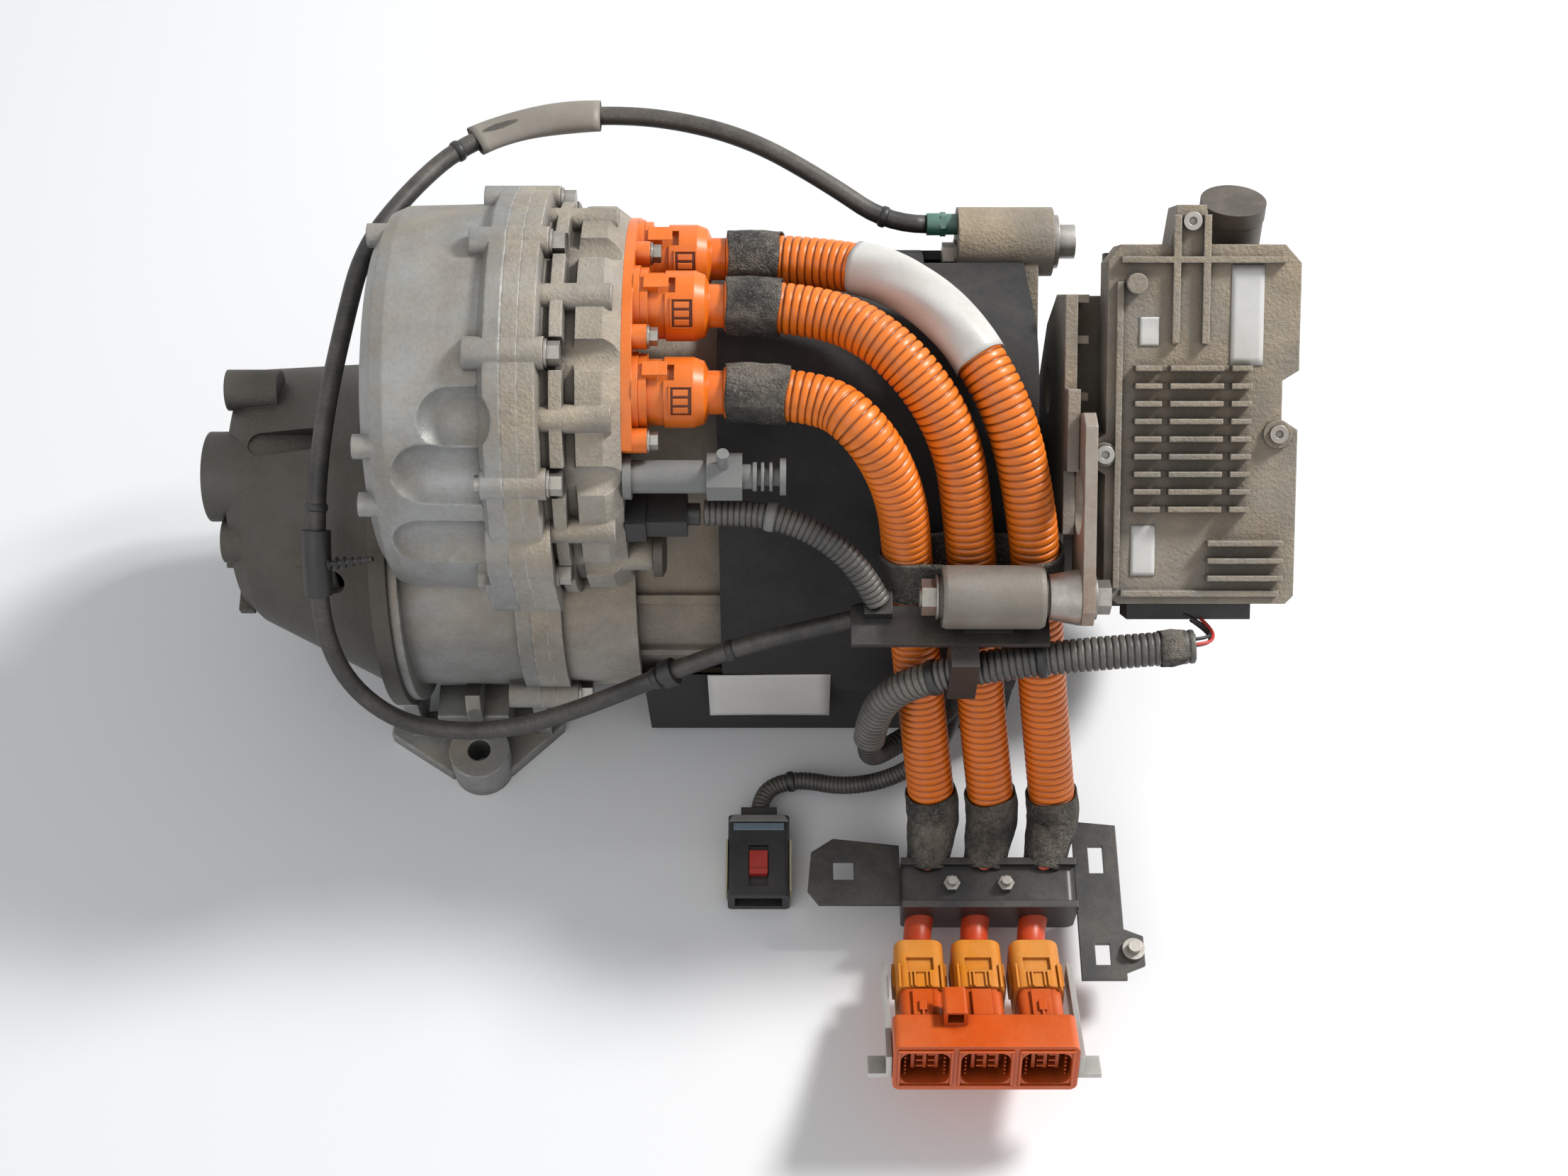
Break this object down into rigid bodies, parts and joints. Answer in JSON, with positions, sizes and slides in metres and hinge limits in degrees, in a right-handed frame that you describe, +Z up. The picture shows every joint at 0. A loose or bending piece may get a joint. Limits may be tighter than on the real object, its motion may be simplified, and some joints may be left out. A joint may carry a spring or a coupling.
{
  "type": "electric drive unit",
  "caption": "Electric axle drive: motor, reduction gear, differential and clutch in cast housings, with control unit, orange high-voltage harness and vent hose",
  "frame": {"origin": "mouth of the left output socket, on the output axis", "axes": "X along the axle from left to right, Y to the back, Z up"},
  "size_m": [0.557, 0.4662, 0.3187],
  "materials": {
    "cast_dark": "sand cast, dusty and in shade",
    "cast_pale": "pale die cast",
    "cast_dusty": "die cast with a film of dust",
    "foam": "moulded foam skin",
    "steel": "machined or plated steel",
    "copper": "varnished winding wire",
    "orange_plastic": "moulded orange plastic",
    "orange_conduit": "corrugated orange conduit",
    "orange_rubber": "smooth cable jacket",
    "amber_plastic": "yellow orange plastic",
    "black_plastic": "moulded black plastic",
    "grey_plastic": "moulded grey plastic",
    "green_plastic": "moulded green plastic",
    "red_plastic": "moulded red plastic",
    "black_rubber": "hose and seal rubber",
    "felt": "woven cloth tape",
    "grey_metal": "rubber-metal bush sleeve",
    "black_steel": "black coated steel",
    "white_film": "blank film"
  },
  "bodies": {
    "unit": {"acoustic_jacket": "foam", "blank_sleeves": "white_film", "bracket_casting": "cast_dusty", "bush_bolt_and_spacer": "steel", "casing_bolts": "steel", "clamp_studs": "steel", "clutch_housing": "cast_dark", "conduit_felt_band": "felt", "control_unit_base": "black_plastic", "control_unit_housing": "cast_dusty", "control_unit_screws": "steel", "coolant_pipe": "grey_plastic", "disconnect_actuator": "grey_plastic", "gearbox_casing_left": "cast_dusty", "gearbox_casing_right": "cast_dusty", "harness_bar": "black_steel", "harness_bush": "grey_metal", "harness_clamp": "black_steel", "header_block": "orange_plastic", "header_rails": "steel", "hv_cable_stubs": "orange_rubber", "hv_conduit_1": "orange_conduit", "hv_conduit_2": "orange_conduit", "hv_conduit_3": "orange_conduit", "hv_header_plate": "orange_plastic", "hv_plugs": "orange_plastic", "inlet_collars": "amber_plastic", "inlet_plugs": "orange_plastic", "left_axle_housing": "cast_dark", "left_bracket": "black_steel", "motor_end_cover": "cast_dusty", "motor_housing": "cast_pale", "motor_middle_ring": "cast_dusty", "mounting_foot": "cast_pale", "output_seals": "black_rubber", "resolver_connector": "black_plastic", "right_strip": "black_steel", "sensor_conduit": "black_rubber", "shaft_bearings": "steel", "slotted_plate": "steel", "stator_core": "steel", "stator_windings": "copper", "tape_cuffs": "felt", "vent_fitting": "green_plastic", "vent_hose": "black_rubber", "vent_hose_clips": "black_plastic", "wire_branch": "black_rubber", "wire_conduit": "black_rubber", "wire_connector": "black_plastic"},
    "rotor": {"rotor_core": "steel", "rotor_shaft": "steel"},
    "countershaft": {"countershaft": "steel"},
    "differential": {"ring_gear": "steel", "differential_carrier": "steel"},
    "left_output": {"left_output_shaft": "steel"},
    "right_output": {"right_output_shaft": "steel"},
    "clutch_sleeve": {"clutch_sleeve": "steel"},
    "shift_fork": {"shift_fork": "steel"},
    "port_cap": {"port_cap": "grey_plastic"},
    "wire_lock": {"wire_connector_lock": "red_plastic"}
  },
  "joints": [
    {"name": "differential_spin", "type": "hinge", "parent": "unit", "child": "differential", "pos_m": [0.33, 0, 0], "axis": [1, 0, 0], "continuous": true},
    {"name": "countershaft_spin", "type": "hinge", "parent": "unit", "child": "countershaft", "pos_m": [0.31, 0.05106, 0.07044], "axis": [1, 0, 0], "continuous": true},
    {"name": "rotor_spin", "type": "hinge", "parent": "unit", "child": "rotor", "pos_m": [0.15, 0.0075, 0.1117], "axis": [1, 0, 0], "continuous": true},
    {"name": "left_output_spin", "type": "hinge", "parent": "unit", "child": "left_output", "pos_m": [0.013, 0, 0], "axis": [1, 0, 0], "continuous": true},
    {"name": "right_output_spin", "type": "hinge", "parent": "unit", "child": "right_output", "pos_m": [0.519, 0, 0], "axis": [1, 0, 0], "continuous": true},
    {"name": "sleeve_slide", "type": "slide", "parent": "unit", "child": "clutch_sleeve", "axis": [-1, 0, 0], "range_m": [0, 0.0048]},
    {"name": "fork_slide", "type": "slide", "parent": "unit", "child": "shift_fork", "axis": [-1, 0, 0], "range_m": [0, 0.0048]},
    {"name": "port_cap_pull", "type": "slide", "parent": "unit", "child": "port_cap", "axis": [1, 0, 0], "range_m": [0, 0.012]},
    {"name": "wire_lock_slide", "type": "slide", "parent": "unit", "child": "wire_lock", "axis": [0, -1, 0], "range_m": [0, 0.005]}
  ],
  "couplings": [
    {"joint": "countershaft_spin", "follows": "differential_spin", "ratio": -3.4615},
    {"joint": "rotor_spin", "follows": "differential_spin", "ratio": 8.4066},
    {"joint": "left_output_spin", "follows": "differential_spin", "ratio": 1},
    {"joint": "right_output_spin", "follows": "differential_spin", "ratio": 1},
    {"joint": "fork_slide", "follows": "sleeve_slide", "ratio": 1}
  ]
}
